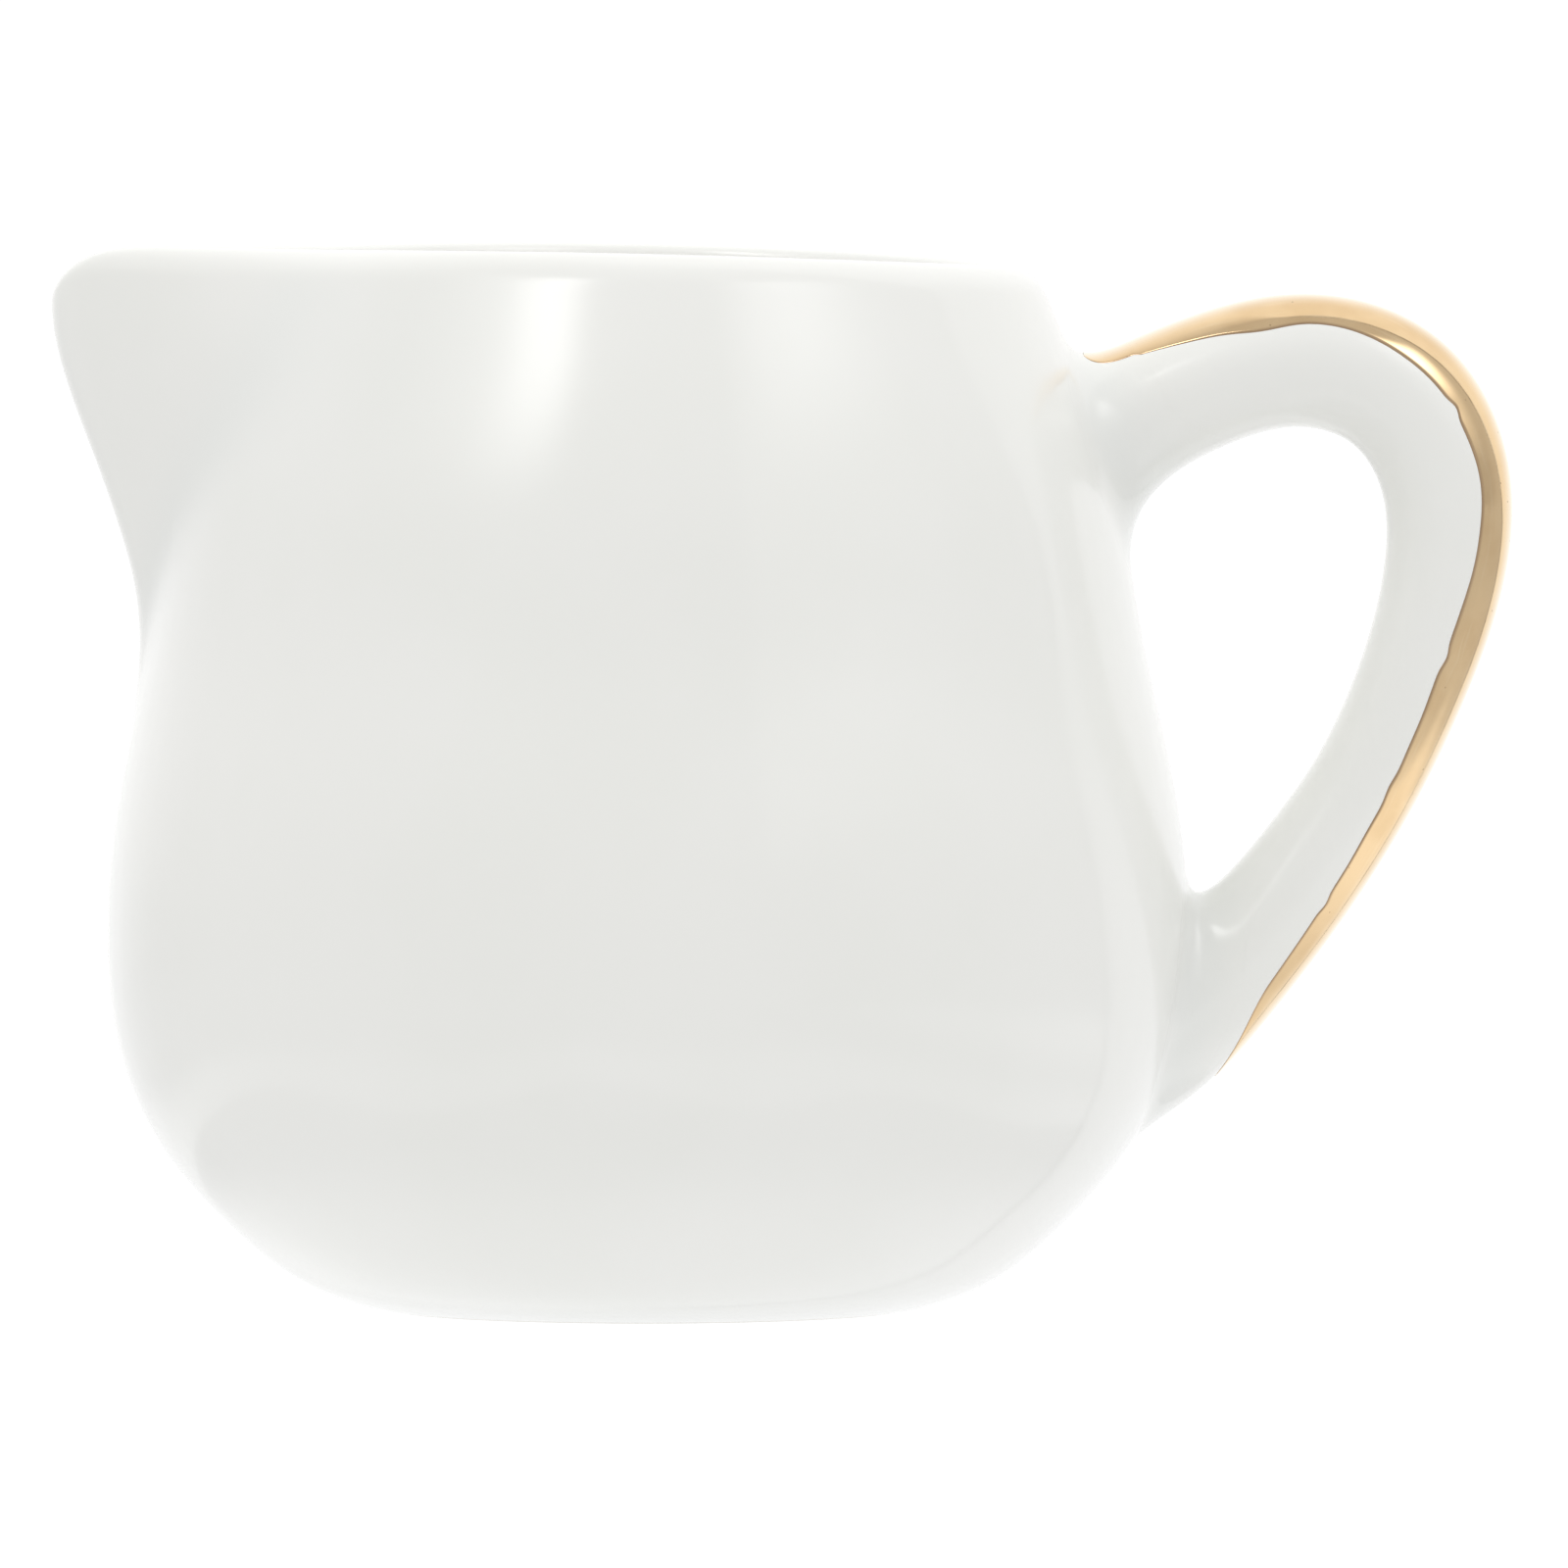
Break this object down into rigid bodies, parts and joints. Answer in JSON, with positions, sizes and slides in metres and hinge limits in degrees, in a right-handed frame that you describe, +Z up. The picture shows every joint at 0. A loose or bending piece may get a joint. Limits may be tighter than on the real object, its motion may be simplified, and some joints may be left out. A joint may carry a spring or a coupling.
{
  "type": "porcelain cream jug",
  "caption": "Small white glazed porcelain cream jug with a rounded belly, a pinched beak spout and an ear-shaped handle gilded along its back.",
  "frame": {"origin": "centre of the foot ring in the plane of the table, on the axis of the round body", "axes": "+Z up along the body's axis; the spout points along -X and the handle stands out along +X; the jug is the same on both sides of the XZ plane"},
  "size_m": [0.0959, 0.071, 0.0697],
  "materials": {
    "glazed_porcelain": "clear gloss glaze over a white body",
    "gilding": "burnished gold, hand painted"
  },
  "bodies": {
    "root": {"body": "glazed_porcelain", "handle": "glazed_porcelain", "upper_handle_slip": "glazed_porcelain", "lower_handle_slip": "glazed_porcelain", "gilt_band": "gilding"}
  },
  "joints": []
}
